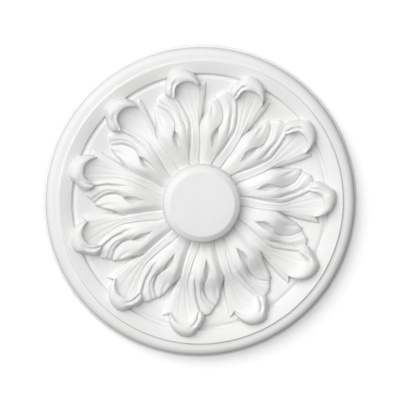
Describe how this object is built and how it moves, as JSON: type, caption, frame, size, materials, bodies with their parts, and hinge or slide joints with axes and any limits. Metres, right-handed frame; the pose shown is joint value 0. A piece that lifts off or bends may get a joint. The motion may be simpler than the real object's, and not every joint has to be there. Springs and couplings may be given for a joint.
{
  "type": "ceiling rose",
  "caption": "Round moulded ceiling rose with a ring of curled acanthus leaves around a raised flat disc; fixes flat to a ceiling and takes a pendant light's canopy at its centre.",
  "frame": {"origin": "centre of the flat back face, which is bonded to the ceiling", "axes": "+Y is the outward normal of the flat back, so it turns straight up when the rose is on a ceiling; -Y is the way the carved face looks; +Z and +X lie in the plane of the back"},
  "size_m": [0.4, 0.044, 0.4],
  "materials": {
    "primed_foam": "matt white factory primer on rigid moulded polyurethane foam"
  },
  "bodies": {
    "root": {"ceiling_rose": "primed_foam"}
  },
  "joints": []
}
